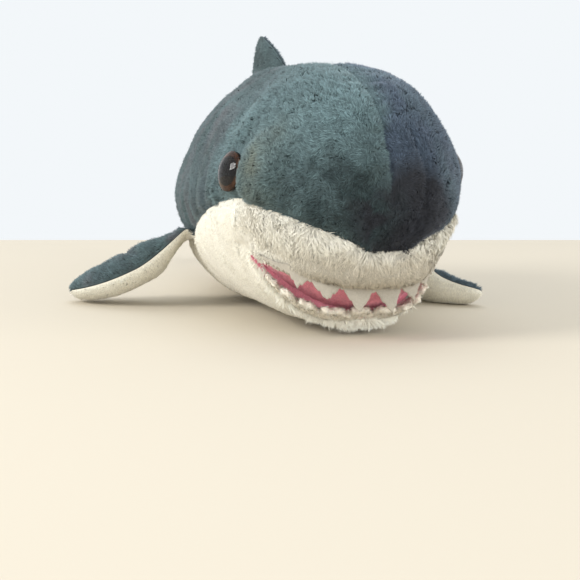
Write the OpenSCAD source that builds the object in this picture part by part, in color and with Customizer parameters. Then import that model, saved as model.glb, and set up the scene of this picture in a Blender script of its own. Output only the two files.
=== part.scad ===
// Plush shark lying on its belly with its toothed mouth open.
// Millimetres. +Z is up, the snout points to -Y and the shark's right side is -X.
// The origin is on the table, on the middle plane, halfway along the length.
// A name ending in _at is a distance back from the tip of the snout.

/* [Body] */
// Length from the snout to the rear tips of the tail fin
body_len = 355; // [345:5:365]
// Width at the fullest section
body_w = 124; // [118:1:132]
// Height of the back above the table
body_h = 124; // [118:1:130]
// Where the body is fullest
full_at = 112; // [104:1:120]
// Height of the tip of the snout
snout_z = 60; // [57:1:63]
// Where the underside of the head reaches the table
chin_at = 62; // [60:1:66]
// Where the belly starts to rise to the tail
belly_end_at = 178; // [165:1:190]
// How far the soft belly is pressed flat on the table
rest_press = 1.2; // [0.8:0.1:2]
// Width of the tail stock
stock_w = 28; // [24:1:32]
// Underside of the tail stock
stock_low_z = 32; // [28:1:36]
// Top of the tail stock
stock_top_z = 62; // [58:1:66]

/* [Cloth] */
// Thickness of the pile fabric
skin_t = 2.2; // [1.8:0.1:2.6]
// Thickness of the mouth lining
lining_t = 1.2; // [1:0.1:1.6]
// Thickness of the felt the teeth are cut from
felt_t = 1.6; // [1.2:0.1:2]

/* [Colour seam] */
// Height of the seam under the snout
seam_snout_z = 39; // [37:1:41]
// Height of the seam's crest under the eye
seam_crest_z = 61.5; // [58:0.5:63]
// Where the seam crests
seam_crest_at = 45; // [42:1:48]
// Height of the seam along the flank
seam_flank_z = 40; // [38:1:44]
// Where the seam levels out on the flank
seam_flank_at = 140; // [130:5:150]

/* [Mouth] */
// Front of the upper lip
lip_at = 12; // [11:0.5:14]
// Height of the upper lip at the front
lip_z = 25; // [24:0.5:27]
// Front of the lower lip
chin_lip_at = 27.6; // [26:0.2:30]
// Height of the lower lip at the front
chin_lip_z = 9; // [8:0.5:10]
// Half the distance between the corners of the mouth
corner_x = 51.5; // [50:0.5:53]
// Where the corners of the mouth are
corner_at = 46; // [44:1:48]
// Height of the corners of the mouth
corner_z = 39; // [37:0.5:40]
// Where the palate meets the floor of the mouth
fold_at = 45; // [42:1:50]
// Height of the fold between palate and floor
fold_z = 12.3; // [11.5:0.1:13]

/* [Teeth] */
// Height of the two front teeth
tooth_h = 11; // [8:0.5:12]
// Half the width of a front tooth, as an angle round the mouth
tooth_half = 9; // [7:0.5:10]
// Height of the felt strip the upper teeth are cut from
strip_h = 2; // [1.5:0.1:3]
// Height of the lower teeth
low_tooth_h = 4.5; // [3:0.5:5]

/* [Eyes] */
// Diameter of the eye's dome
eye_d = 18; // [16:0.5:20]
// Height of the dome
eye_dome_h = 4.5; // [4:0.5:6]
// Diameter of the pupil
pupil_d = 12.6; // [9:0.2:13]
// Where the eyes are
eye_at = 54; // [52:1:57]
// Height of the eyes
eye_z = 73; // [72:1:76]

/* [Side fins] */
// Middle of the fin's root
fin_at = 139; // [135:1:143]
// Length of the fin's root
fin_root = 46; // [42:1:50]
// Height of the fin's root seam
fin_root_z = 35; // [33:1:38]
// Height of the middle of the fin's tip
fin_tip_z = 6.5; // [6:0.5:9]
// Half the thickness of the stuffed fin
fin_half_t = 7; // [5.5:0.5:8]
// How far the fins are tipped to show their undersides in front
fin_pitch = 24; // [10:1:28]
// How far the right fin reaches out from its root
right_reach = 49; // [45:1:54]
// How far the right fin's tip lies behind its root
right_sweep = 31; // [20:1:36]
// How early the right fin bends down to the table
right_droop = 1.6; // [1.3:0.1:2]
// How far the left fin reaches out from its root
left_reach = 40; // [38:1:48]
// How far the left fin's tip lies behind its root, negative when it is pushed forward
left_sweep = -42; // [-44:1:30]
// How early the left fin bends down to the table
left_droop = 2.2; // [1.6:0.1:2.6]

/* [Back fin] */
// Front end of the fin's root
dorsal_at = 136; // [130:1:142]
// Length of the fin's root
dorsal_root = 50; // [46:1:54]
// Height of the fin above the back
dorsal_h = 38; // [30:1:42]
// Half the thickness of the fin
dorsal_half_t = 5; // [4:0.5:6]

/* [Tail] */
// Where the tail bends
tail_pivot_at = 190; // [188:1:192]
// Radius of the round face between body and tail
tail_ball_r = 50; // [49:0.5:51]
// Height of the upper tip of the tail fin
fluke_top_z = 80; // [74:1:86]
// Height of the lower tip of the tail fin
fluke_low_z = 14; // [8:1:20]
// Half the thickness of the tail fin
fluke_half_t = 6; // [5:0.5:7]

/* [Hidden] */
moving_gap = 0.4;
pocket_reach = 0.6;
ring_n = 36;
station_n = 27;
loft_start = 0.15;
stock_at = body_len - 70;
wedge_at = stock_at - 9;
wedge_len = 46;
loft_end = wedge_at + wedge_len - 2;
stock_end_at = wedge_at + 39;
fluke_at = body_len - 35;
tail_pivot_z = 47;
stock_mid_z = (stock_low_z + stock_top_z) / 2;
root_r = 3;
fin_groove_r = root_r + 0.8;
dorsal_groove_r = root_r + 1.5;
plate_t = 1;
eye_sink = 0.6;
washer_t = 1.4;
washer_depth = 2.3;
iris_t = 0.5;
post_r = 2.2;
washer_r = 8;
big = 500;
teal = [0.24, 0.34, 0.36];
navy = [0.19, 0.22, 0.29];
cream = [0.91, 0.88, 0.80];
pink = [0.84, 0.35, 0.42];
felt = [0.95, 0.94, 0.90];
fibre = [0.97, 0.97, 0.95];
iris_brown = [0.45, 0.25, 0.10];
black = [0.03, 0.03, 0.03];
clear = [0.9, 0.95, 1, 0.35];
washer_white = [0.85, 0.85, 0.82];

// Body form: upright ellipses along the length.

function ease(t) = (1 - cos(180 * min(1, max(0, t)))) / 2;
function mix(a, b, t) = a + (b - a) * t;
// 0 at the snout and 1 at the fullest section; a larger power makes a blunter head
function dome(y, power) = sqrt(1 - pow(1 - y / full_at, power));
function rear(y) = ease((y - full_at) / (stock_at - full_at));
// Closes the sides of the tail stock to a wedge inside the tail fin
function wedge(y) = y < wedge_at ? 1 : sqrt(1 - pow((y - wedge_at) / wedge_len, 2.2));
function half_w(y) = wedge(y) * (y < full_at ? body_w / 2 * dome(y, 2.9)
                                             : mix(body_w / 2, stock_w / 2, rear(y)));
function top_z(y) = y < full_at ? snout_z + (body_h - snout_z) * dome(y, 3.4)
                                : mix(body_h, stock_top_z, rear(y));
function low_z(y) =
    y < chin_at ? mix(snout_z, -rest_press, pow(1 - pow(1 - y / chin_at, 2), 1 / 2.3))
                : mix(-rest_press, stock_low_z, ease((y - belly_end_at) / (stock_at - belly_end_at)));
function mid_z(y) = (top_z(y) + low_z(y)) / 2;
function half_h(y) = (top_z(y) - low_z(y)) / 2;
// Point on the skin at distance y and angle a round the section
function skin_point(y, a) = [half_w(y) * cos(a), y, mid_z(y) + half_h(y) * sin(a)];
function skin_normal(y, a) =
    let (step = 0.05,
         along = skin_point(y + step, a) - skin_point(y - step, a),
         around = [-half_w(y) * sin(a), 0, half_h(y) * cos(a)],
         n = cross(along, around))
    n / norm(n);
// Half the width of the body at distance y and height z
function flank_x(y, z) = half_w(y) * sqrt(1 - pow((z - mid_z(y)) / half_h(y), 2));
function station(i) = loft_start + (loft_end - loft_start) * pow(i / station_n, 1.7);

// Closed tube through rings of points that all have the same number of points
module tube(rings) {
    n = len(rings[0]);
    m = len(rings);
    polyhedron(
        points = [for (r = rings) each r],
        faces = concat(
            [[for (j = [0:n - 1]) j]],
            [for (i = [0:m - 2], j = [0:n - 1])
                let (k = (j + 1) % n) [i * n + j, (i + 1) * n + j, (i + 1) * n + k]],
            [for (i = [0:m - 2], j = [0:n - 1])
                let (k = (j + 1) % n) [i * n + j, (i + 1) * n + k, i * n + k]],
            [[for (j = [n - 1:-1:0]) (m - 1) * n + j]]));
}

// The body's form, drawn in by a distance everywhere
module loft(inset = 0) {
    tube([for (i = [0:station_n]) let (y = station(i))
        [for (j = [0:ring_n - 1]) let (a = -360 * j / ring_n)
            skin_point(y, a) - inset * skin_normal(max(y, 0.3), a)]]);
}

// The body's form with its belly pressed flat on the table
module plush(inset = 0) {
    intersection() {
        loft(inset);
        translate([-big / 2, -big / 4, inset]) cube([big, big * 1.5, big]);
    }
}

module shell() {
    difference() {
        plush(0);
        plush(skin_t);
    }
}

// A plate the full width of the shark whose side view is the given outline
module side_cut(outline) {
    translate([-big / 2, 0, 0]) rotate([90, 0, 90]) linear_extrude(big) polygon(outline);
}

// The colour seam in side view
function seam_rise(t) = [mix(3.6, seam_crest_at, t * t),
                         mix(seam_snout_z, seam_crest_z, pow(t, 0.9))];
function seam_fall(t) = [mix(seam_crest_at, seam_flank_at, t),
                         mix(seam_crest_z, seam_flank_z, ease(t))];
module above_seam() {
    side_cut(concat(
        [[-big / 4, seam_snout_z]],
        [for (i = [0:10]) seam_rise(i / 10)],
        [for (i = [1:10]) seam_fall(i / 10)],
        [[stock_at, stock_mid_z], [big, stock_mid_z], [big, big], [-big / 4, big]]));
}

module right_half() {
    translate([-big, -big / 2, -big / 2]) cube([big, big * 2, big]);
}

module left_half() {
    mirror([1, 0, 0]) right_half();
}

// Everything ahead of the round face that the tail turns on
module front_zone() {
    translate([-big / 2, -big / 2, -big / 2]) cube([big, big / 2 + tail_pivot_at + 20, big]);
    tail_ball(tail_ball_r);
}

module tail_zone() {
    ahead = tail_pivot_at + 20 + moving_gap;
    difference() {
        translate([-big / 2, ahead, -big / 2]) cube([big, stock_end_at - ahead, big]);
        tail_ball(tail_ball_r + moving_gap);
    }
}

module tail_ball(r) {
    translate([0, tail_pivot_at, tail_pivot_z]) sphere(r, $fn = 64);
}

// The mouth. An angle of 0 is its front and 90 its right corner.

function upper_lip(a) = [-corner_x * sin(a), corner_at - (corner_at - lip_at) * cos(a),
                         mix(lip_z, corner_z, pow(sin(a), 2))];
function lower_lip(a) = [(0.5 - corner_x) * sin(a),
                         corner_at + 2 - (corner_at + 2 - chin_lip_at) * cos(a),
                         mix(chin_lip_z, corner_z - 1, pow(abs(sin(a)), 3.4))];
function fold(a) = [(4.5 - corner_x) * sin(a), mix(fold_at, corner_at + 3, pow(sin(a), 2)),
                    mix(fold_z, corner_z - 1.7, pow(abs(sin(a)), 2.2))];
function outward(a) = let (v = [-sin(a) / corner_x, -cos(a) / (corner_at - lip_at), 0]) v / norm(v);
function reached(lip, back) = lip + pocket_reach * (lip - back);
function roof_edge(a, g) = reached(upper_lip(a), fold(a)) + [0, 0, g];
function floor_edge(a, g) = reached(lower_lip(a), fold(a)) - [0, 0, g];
function back_edge(a, g) = fold(a) - 1.4 * g * outward(a);

// The open mouth, made larger by a lining of thickness g
module pocket(g = 0) {
    tube([for (a = [-90:6:90]) [roof_edge(a, g), back_edge(a, g), floor_edge(a, g)]]);
}

function between(a) = (roof_edge(a, 0) + floor_edge(a, 0)) / 2;
module pocket_roof(g) {
    tube([for (a = [-84:6:84]) [roof_edge(a, g), back_edge(a, g), between(a)]]);
}

module pocket_floor(g) {
    tube([for (a = [-84:6:84]) [between(a), back_edge(a, g), floor_edge(a, g)]]);
}

// Felt strip along a lip. Each row holds its lower edge, its upper edge and the way out of the mouth.
module felt_band(rows) {
    tube([for (r = rows) let (w = felt_t * r[2]) [r[0], r[1], r[1] - w, r[0] - w]]);
}

function tooth(a, at, half, h) = h * max(0, 1 - abs(abs(a) - at) / half);
function upper_edge(a) = strip_h + max(
    tooth(a, tooth_half, tooth_half * 0.95, tooth_h - strip_h),
    tooth(a, tooth_half * 2.9, tooth_half * 0.85, tooth_h * 0.62 - strip_h),
    tooth(a, tooth_half * 4.5, tooth_half * 0.7, tooth_h * 0.42 - strip_h),
    tooth(a, tooth_half * 5.7, tooth_half * 0.5, 1.2),
    tooth(a, tooth_half * 6.7, tooth_half * 0.5, 0.9),
    tooth(a, tooth_half * 7.7, tooth_half * 0.5, 0.6));
function nub(a, at, half, h) = h * sqrt(max(0, 1 - pow((abs(a) - at) / half, 4)));
function lower_edge(a) = 0.8 + max(
    nub(a, 0, 6, low_tooth_h * 0.8),
    nub(a, 16, 6, low_tooth_h),
    nub(a, 30, 4.5, low_tooth_h * 0.9),
    nub(a, 41, 4, low_tooth_h * 0.8),
    nub(a, 51, 3.5, low_tooth_h * 0.6));

// Places children at an eye with +Z straight out of the skin, sunk into the pile.
// A side is -1 for right and 1 for left.
module on_eye(side) {
    rise = asin((eye_z - mid_z(eye_at)) / half_h(eye_at));
    angle = side > 0 ? rise : 180 - rise;
    n = skin_normal(eye_at, angle);
    translate(skin_point(eye_at, angle)) rotate([0, acos(n[2]), atan2(n[1], n[0])])
        translate([0, 0, -eye_sink]) children();
}

// Room for the eye's plate, post and washer
module eye_seat(side) {
    on_eye(side) {
        translate([0, 0, -plate_t]) cylinder(h = 10, r = eye_d / 2 + 0.2, $fn = 48);
        translate([0, 0, -20]) cylinder(h = 25, r = post_r + 0.1, $fn = 24);
    }
}

module washer_seat(side) {
    on_eye(side) translate([0, 0, -17]) cylinder(h = 20, r = washer_r + 0.3, $fn = 32);
}

module eye_dome(side) {
    ball_r = (pow(eye_d / 2, 2) + pow(eye_dome_h, 2)) / (2 * eye_dome_h);
    on_eye(side) translate([0, 0, iris_t]) intersection() {
        translate([0, 0, eye_dome_h - ball_r]) sphere(ball_r, $fn = 48);
        cylinder(h = eye_dome_h + 1, r = eye_d, $fn = 48);
    }
}

module eye_iris(side) {
    on_eye(side) difference() {
        cylinder(h = iris_t, r = eye_d / 2 - 0.2, $fn = 48);
        translate([0, 0, -1]) cylinder(h = 3, r = pupil_d / 2, $fn = 48);
    }
}

module eye_post(side) {
    on_eye(side) {
        translate([0, 0, -plate_t]) cylinder(h = plate_t, r = eye_d / 2, $fn = 48);
        cylinder(h = iris_t, r = pupil_d / 2, $fn = 48);
        translate([0, 0, -15]) cylinder(h = 15, r = post_r, $fn = 24);
    }
}

module eye_washer(side) {
    on_eye(side) translate([0, 0, -washer_depth - washer_t]) difference() {
        cylinder(h = washer_t, r = washer_r, $fn = 32);
        translate([0, 0, -1]) cylinder(h = 4, r = post_r + 0.1, $fn = 24);
    }
}

// Stuffed fins: a middle sheet given by m(u, v), its normal n(u, v) and half thickness t(u, v).
// The solid lies between s0 and s1 half thicknesses from the sheet.
module pillow(m, n, t, s0, s1, nu, nv, u = [0, 1], v = [0, 1]) {
    us = [for (i = [0:nu]) mix(u[0], u[1], i / nu)];
    vs = [for (j = [0:nv]) mix(v[0], v[1], (1 - cos(180 * j / nv)) / 2)];
    tube([for (p = us) concat(
        [for (q = vs) m(p, q) + s1 * t(p, q) * n(p, q)],
        [for (j = [nv:-1:0]) let (q = vs[j]) m(p, q) + s0 * t(p, q) * n(p, q)])]);
}

// Half chord and half thickness of a side fin from its root, u = 0, to its tip, u = 1
function fin_chord(u) = fin_root / 2 * mix(1, 0.55, u) * sqrt(1 - pow(u * 0.985, 5));
function fin_thick(u, v) =
    0.9 + (mix(root_r, fin_half_t, ease(u / 0.35)) * (1 - 0.62 * pow(u, 2.2)) - 0.9)
          * sqrt(max(0, 1 - pow(abs(2 * v - 1), 2.4)));
hinge_x = flank_x(fin_at, fin_root_z) + 1;
function fin_tip_up(u) = fin_pitch * ease(u / 0.3);
function fin_mid(u, v, reach, sweep, droop) =
    let (back = (2 * v - 1) * fin_chord(u))
    [-hinge_x - reach * u, fin_at + sweep * u + back * cos(fin_tip_up(u)),
     mix(fin_tip_z, fin_root_z, pow(1 - u, droop)) - back * sin(fin_tip_up(u))];
function fin_normal(u, reach, droop) =
    let (fall = droop * (fin_root_z - fin_tip_z) * pow(1 - min(u, 0.96), droop - 1) / reach,
         n = [-fall, sin(fin_tip_up(u)), cos(fin_tip_up(u))])
    n / norm(n);

// A right fin; the left one is this mirrored
module fin_part(reach, sweep, droop, s0, s1, thin = 0, u = [0, 1], v = [0, 1]) {
    pillow(
        function(p, q) fin_mid(p, q, reach, sweep, droop),
        function(p, q) fin_normal(p, reach, droop),
        function(p, q) max(0.4, fin_thick(p, q) - thin),
        s0, s1, 10, 8, u, v);
}

module fin_core(reach, sweep, droop) {
    fin_part(reach, sweep, droop, -1, 1, skin_t, [0.12, 0.87], [0.12, 0.88]);
}

module fin_panel(reach, sweep, droop, face) {
    difference() {
        fin_part(reach, sweep, droop, min(0, face), max(0, face));
        fin_core(reach, sweep, droop);
    }
}

module fin_groove(side) {
    translate([side * hinge_x, fin_at - fin_root / 2 - 2, fin_root_z]) rotate([-90, 0, 0])
        cylinder(h = fin_root + 4, r = fin_groove_r, $fn = 24);
}

// Back fin. Its root follows the falling line of the back.
dorsal_end = dorsal_at + dorsal_root;
dorsal_z0 = top_z(dorsal_at);
dorsal_z1 = top_z(dorsal_end);
dorsal_tilt = atan((dorsal_z1 - dorsal_z0) / dorsal_root);
function dorsal_mid(u, v) =
    let (front = dorsal_at + 36 * pow(u, 1.4), back = dorsal_end + 2 * u,
         round_off = sqrt(1 - pow(u * 0.98, 7)), y = mix(front, back, 0.5 + (v - 0.5) * round_off))
    [0, y, mix(dorsal_z0, dorsal_z1, (y - dorsal_at) / dorsal_root) + dorsal_h * u];
function dorsal_thick(u, v) =
    0.9 + (mix(root_r, dorsal_half_t, ease(u / 0.35)) * (1 - 0.5 * pow(u, 2)) - 0.9)
          * sqrt(max(0, 1 - pow(abs(2 * v - 1), 2.2)));

module dorsal_part(s0, s1, thin = 0, u = [0, 1], v = [0, 1]) {
    pillow(function(p, q) dorsal_mid(p, q), function(p, q) [1, 0, 0],
           function(p, q) max(0.4, dorsal_thick(p, q) - thin), s0, s1, 8, 6, u, v);
}

module dorsal_core() {
    dorsal_part(-1, 1, skin_t, [0.14, 0.86], [0.14, 0.86]);
}

module dorsal_panel(side) {
    difference() {
        dorsal_part(min(0, side), max(0, side));
        dorsal_core();
    }
}

module dorsal_groove() {
    translate([0, dorsal_at, dorsal_z0]) rotate([dorsal_tilt - 90, 0, 0])
        translate([0, 0, -3]) cylinder(h = dorsal_root + 8, r = dorsal_groove_r, $fn = 24);
}

// Tail fin: one crescent from its lower tip, u = -1, to its upper tip, u = 1
function fluke_mid(u, v) =
    let (spread = u > 0 ? fluke_top_z - stock_mid_z : stock_mid_z - fluke_low_z,
         chord = 19 * mix(1, 0.45, abs(u)) * sqrt(1 - pow(abs(u) * 0.985, 4)),
         lean = (u > 0 ? 33 : 24) * pow(abs(u), 1.5))
    [0, fluke_at + lean + (2 * v - 1) * chord, stock_mid_z + spread * u];
function fluke_thick(u, v) =
    0.9 + (fluke_half_t * (1 - 0.5 * pow(abs(u), 1.6)) - 0.9)
          * sqrt(max(0, 1 - pow(abs(2 * v - 1), 2.2)));

module fluke_part(s0, s1, thin = 0, u = [-1, 1], v = [0, 1]) {
    pillow(function(p, q) fluke_mid(p, q), function(p, q) [1, 0, 0],
           function(p, q) max(0.4, fluke_thick(p, q) - thin), s0, s1, 16, 6, u, v);
}

module fluke_core() {
    fluke_part(-1, 1, skin_t, [-0.88, 0.88], [0.12, 0.88]);
}

// The end of the tail stock that the tail fin is sewn round
module stock_plug() {
    intersection() {
        loft(0);
        translate([-big / 2, stock_at - 30, -big / 2]) cube([big, stock_end_at - stock_at + 30, big]);
    }
}

module fluke_panel(side) {
    difference() {
        fluke_part(min(0, side), max(0, side));
        fluke_core();
        stock_plug();
    }
}

// Puts a node in place
module set_down(paint) {
    color(paint) translate([0, -body_len / 2, 0]) children();
}

// Puts a soft node in place as one closed mesh
module placed(paint) {
    set_down(paint) resize([0, 0, 0]) children();
}

module back_panel(side) {
    difference() {
        intersection() {
            shell();
            above_seam();
            front_zone();
            if (side < 0) right_half(); else left_half();
        }
        eye_seat(side);
        dorsal_groove();
    }
}

module muzzle_zone() {
    side_cut([[-5, 11.3], [corner_at, corner_z - 0.5], [corner_at + 4, corner_z - 0.5],
              [corner_at + 4, big / 2], [-5, big / 2]]);
}

module muzzle() {
    difference() {
        intersection() {
            shell();
            muzzle_zone();
        }
        above_seam();
        pocket(lining_t);
    }
}

module belly() {
    difference() {
        intersection() {
            shell();
            front_zone();
        }
        above_seam();
        muzzle_zone();
        pocket(lining_t);
        fin_groove(-1);
        fin_groove(1);
    }
}

module palate() {
    difference() {
        intersection() {
            pocket_roof(lining_t);
            plush(0.1);
        }
        pocket(0);
    }
}

module mouth_floor() {
    difference() {
        intersection() {
            pocket_floor(lining_t);
            plush(0.1);
        }
        pocket(0);
        pocket_roof(lining_t);
    }
}

module filling() {
    difference() {
        intersection() {
            plush(skin_t);
            front_zone();
        }
        pocket(lining_t);
        for (side = [-1, 1]) {
            eye_seat(side);
            washer_seat(side);
            fin_groove(side);
        }
        dorsal_groove();
    }
}

module upper_band() {
    intersection() {
        felt_band([for (a = [-82:2:82]) let (p = upper_lip(a) - 0.3 * outward(a))
            [p + upper_edge(a) * (0.1 * outward(a) - [0, 0, 1]), p + [0, 0, 2], outward(a)]]);
        pocket(0);
    }
}

module lower_band() {
    intersection() {
        felt_band([for (a = [-60:2:60]) let (p = lower_lip(a) - 0.3 * outward(a))
            [p - [0, 0, 2], p + [0, 0, lower_edge(a)], outward(a)]]);
        pocket(0);
    }
}

module tail_skin(side) {
    intersection() {
        shell();
        tail_zone();
        above_seam();
        if (side < 0) right_half(); else left_half();
    }
}

module body_stuffing() { placed(fibre) filling(); }
module back_panel_right() { placed(teal) back_panel(-1); }
module back_panel_left() { placed(navy) back_panel(1); }
module muzzle_panel() { placed(cream) muzzle(); }
module belly_panel() { placed(cream) belly(); }
module palate_lining() { placed(pink) palate(); }
module mouth_floor_lining() { placed(pink) mouth_floor(); }
module upper_teeth() { placed(felt) upper_band(); }
module lower_teeth() { placed(felt) lower_band(); }
module right_eye_dome() { set_down(clear) eye_dome(-1); }
module right_eye_iris() { set_down(iris_brown) eye_iris(-1); }
module right_eye_post() { set_down(black) eye_post(-1); }
module right_eye_washer() { set_down(washer_white) eye_washer(-1); }
module left_eye_dome() { set_down(clear) eye_dome(1); }
module left_eye_iris() { set_down(iris_brown) eye_iris(1); }
module left_eye_post() { set_down(black) eye_post(1); }
module left_eye_washer() { set_down(washer_white) eye_washer(1); }
module right_fin_top_panel() { placed(teal) fin_panel(right_reach, right_sweep, right_droop, 1); }
module right_fin_under_panel() { placed(cream) fin_panel(right_reach, right_sweep, right_droop, -1); }
module right_fin_stuffing() { placed(fibre) fin_core(right_reach, right_sweep, right_droop); }
module left_fin_top_panel() { placed(teal) mirror([1, 0, 0]) fin_panel(left_reach, left_sweep, left_droop, 1); }
module left_fin_under_panel() { placed(cream) mirror([1, 0, 0]) fin_panel(left_reach, left_sweep, left_droop, -1); }
module left_fin_stuffing() { placed(fibre) mirror([1, 0, 0]) fin_core(left_reach, left_sweep, left_droop); }
module dorsal_right_panel() { placed(teal) dorsal_panel(-1); }
module dorsal_left_panel() { placed(navy) dorsal_panel(1); }
module dorsal_stuffing() { placed(fibre) dorsal_core(); }
module tail_back_panel_right() { placed(teal) tail_skin(-1); }
module tail_back_panel_left() { placed(navy) tail_skin(1); }
module tail_belly_panel() {
    placed(cream) difference() {
        intersection() {
            shell();
            tail_zone();
        }
        above_seam();
    }
}
module tail_stuffing() {
    placed(fibre) intersection() {
        plush(skin_t);
        tail_zone();
    }
}
module fluke_right_panel() { placed(teal) fluke_panel(-1); }
module fluke_left_panel() { placed(navy) fluke_panel(1); }
module fluke_stuffing() {
    placed(fibre) difference() {
        fluke_core();
        stock_plug();
    }
}

body_stuffing();
back_panel_right();
back_panel_left();
muzzle_panel();
belly_panel();
palate_lining();
mouth_floor_lining();
upper_teeth();
lower_teeth();
right_eye_dome();
right_eye_iris();
right_eye_post();
right_eye_washer();
left_eye_dome();
left_eye_iris();
left_eye_post();
left_eye_washer();
right_fin_top_panel();
right_fin_under_panel();
right_fin_stuffing();
left_fin_top_panel();
left_fin_under_panel();
left_fin_stuffing();
dorsal_right_panel();
dorsal_left_panel();
dorsal_stuffing();
tail_back_panel_right();
tail_back_panel_left();
tail_belly_panel();
tail_stuffing();
fluke_right_panel();
fluke_left_panel();
fluke_stuffing();
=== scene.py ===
"""Plush shark: the looks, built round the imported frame.

Lengths are millimetres in the design frame (x across, y back from the snout, z up from the table)
until make_mesh() turns them into metres in the row frame. The toy's right side is at negative x.
"""

import math

import bpy
import numpy as np
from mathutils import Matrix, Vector


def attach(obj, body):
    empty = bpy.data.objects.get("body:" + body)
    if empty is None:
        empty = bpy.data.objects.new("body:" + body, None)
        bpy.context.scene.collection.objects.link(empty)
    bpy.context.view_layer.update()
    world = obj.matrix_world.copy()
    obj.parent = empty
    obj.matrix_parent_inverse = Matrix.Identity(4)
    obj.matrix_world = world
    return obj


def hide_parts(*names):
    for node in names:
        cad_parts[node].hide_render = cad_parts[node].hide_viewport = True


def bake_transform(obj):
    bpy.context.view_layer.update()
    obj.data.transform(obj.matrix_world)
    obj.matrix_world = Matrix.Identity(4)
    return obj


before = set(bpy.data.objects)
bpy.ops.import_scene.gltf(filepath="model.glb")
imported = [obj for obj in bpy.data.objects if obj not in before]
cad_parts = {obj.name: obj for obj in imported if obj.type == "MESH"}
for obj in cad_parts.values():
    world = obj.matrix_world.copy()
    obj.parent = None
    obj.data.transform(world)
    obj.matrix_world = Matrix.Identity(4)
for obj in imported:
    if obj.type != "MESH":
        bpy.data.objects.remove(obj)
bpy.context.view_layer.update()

MM = 0.001

CAMERA_HEADING = math.radians(-19.74)
CAMERA_DIP = math.radians(8.26)

# The body, from the snout (y = 0) over its fullest place to the thin stock of the tail
BODY_LEN = 355.0
FULL_AT = 112.0
CHIN_END_AT = 62.0
BELLY_RISES_AT = 178.0
TAIL_SPLIT_AT = 165.0
STOCK_AT = 285.0
STOCK_END_AT = 315.0
HALF_WIDE, STOCK_HALF_WIDE = 62.0, 14.0
TOP, STOCK_TOP = 124.0, 62.0
BOTTOM, STOCK_BOTTOM = -1.2, 32.0
NOSE_HIGH = 60.0

# The CAD body is the outside of the pile. The woven skin is SKIN_INSET deeper, and tufts are rooted
# BURIED below it.
SKIN_INSET = 3.4
BURIED = 0.5

# The mouth
MOUTH_HALF_WIDE = 51.5
UPPER_LIP_DEEP = 34.0
LOWER_LIP_DEEP = 20.4
LINING_SPAN = 79
LINING_PUSH = 13.0

# Fins and eyes
FIN_AT = 139.0
FIN_HINGE_X = 55.1
FIN_HALF_CHORD = 23.0
FIN_ROOT_HIGH, FIN_TIP_HIGH = 35.0, 6.5
BACK_FIN_AT, BACK_FIN_END = 136.0, 186.0
BACK_FIN_HIGH = 37.0
FLUKE_AT, FLUKE_HIGH = 320.0, 47.0
FLUKE_HALF_SPAN = 33.0
EYE_AT = np.array([52.6, 54.0, 73.0])
EYE_RADIUS = 9.0
LENS_HIGH = 3.4

NOISE_CELLS = 4096
NOISE_TABLE = np.random.default_rng(3).random(NOISE_CELLS)


# Camera, light and floor

def make_camera():
    data = bpy.data.cameras.new("camera")
    data.sensor_width = 36
    data.lens = 71.4
    data.clip_start = 0.01
    camera = bpy.data.objects.new("camera", data)
    camera.location = (-0.2024, -0.6116, 0.094)
    camera.rotation_euler = (math.pi / 2 - CAMERA_DIP, 0, CAMERA_HEADING)
    bpy.context.scene.collection.objects.link(camera)
    bpy.context.scene.camera = camera


def soft_light(name, place, size, power, colour):
    data = bpy.data.lights.new(name, "AREA")
    data.shape = "DISK"
    data.size = size
    data.energy = power
    data.color = colour
    light = bpy.data.objects.new(name, data)
    light.location = place
    aim = Vector((0, -0.05, 0.05)) - Vector(place)
    light.rotation_euler = aim.to_track_quat("-Z", "Y").to_euler()
    bpy.context.scene.collection.objects.link(light)


def make_studio():
    warm, cool = (1, 0.985, 0.96), (0.97, 0.985, 1)
    soft_light("window", (-1.25, -0.15, 0.76), 0.6, 14, warm)
    soft_light("overhead", (0.1, 0.3, 1.4), 1.2, 5, cool)
    soft_light("front_fill", (-0.1, -1.5, 0.25), 0.9, 4.5, warm)
    soft_light("side_fill", (0.9, -1.0, 0.35), 0.9, 5.5, warm)
    world = bpy.data.worlds.new("studio")
    world.use_nodes = True
    background = world.node_tree.nodes["Background"]
    background.inputs["Color"].default_value = (0.905, 0.94, 0.965, 1)
    background.inputs["Strength"].default_value = 0.99
    bpy.context.scene.world = world
    bpy.context.scene.view_settings.view_transform = "Standard"

    far, table_edge = 4, 0.286
    mesh = bpy.data.meshes.new("floor")
    mesh.from_pydata([(-far, -far, 0), (far, -far, 0), (far, table_edge, 0), (-far, table_edge, 0)],
                     [], [(0, 1, 2, 3)])
    floor = bpy.data.objects.new("floor", mesh)
    floor.rotation_euler = (0, 0, CAMERA_HEADING)
    floor.data.materials.append(plain_material("pale_floor", (0.60, 0.54, 0.44), 0.9))
    bpy.context.scene.collection.objects.link(floor)


# Small maths

def mix(a, b, t):
    return a + (b - a) * t


def ease(t):
    return (1 - np.cos(np.pi * np.clip(t, 0, 1))) / 2


def step(low, high, value):
    t = np.clip((value - low) / (high - low), 0, 1)
    return t * t * (3 - 2 * t)


def blob(p, centre, radii):
    """1 round a centre, falling smoothly to 0 at the radii."""
    distance = np.linalg.norm((p - np.array(centre)) / np.array(radii), axis=1)
    return 1 - step(0.45, 1.0, distance)


def unit(v):
    return v / np.maximum(np.linalg.norm(v, axis=-1, keepdims=True), 1e-9)


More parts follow.
